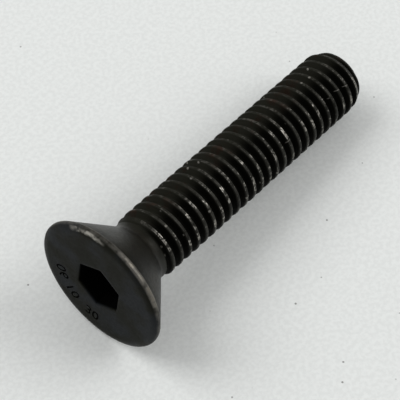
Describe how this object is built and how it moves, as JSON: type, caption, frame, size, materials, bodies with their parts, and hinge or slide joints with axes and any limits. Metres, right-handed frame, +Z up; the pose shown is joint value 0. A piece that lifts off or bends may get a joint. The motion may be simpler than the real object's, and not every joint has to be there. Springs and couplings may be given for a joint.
{
  "type": "countersunk machine screw",
  "caption": "Fully threaded countersunk machine screw with a flat head and a hexagon socket, lying on the rim of its head and the crests near its tip.",
  "frame": {"origin": "centre of the footprint at the ground, with the screw lying as it rests", "axes": "+Z up; +X from the head to the tip, along the ground; the screw's own axis lies in the XZ plane and falls by 6.03 degrees towards the tip"},
  "size_m": [0.031, 0.0118, 0.0119],
  "materials": {
    "black_oxide_steel": "black oxide steel, satin, worn pale on the rim and the thread crests"
  },
  "bodies": {
    "root": {"screw": "black_oxide_steel"}
  },
  "joints": []
}
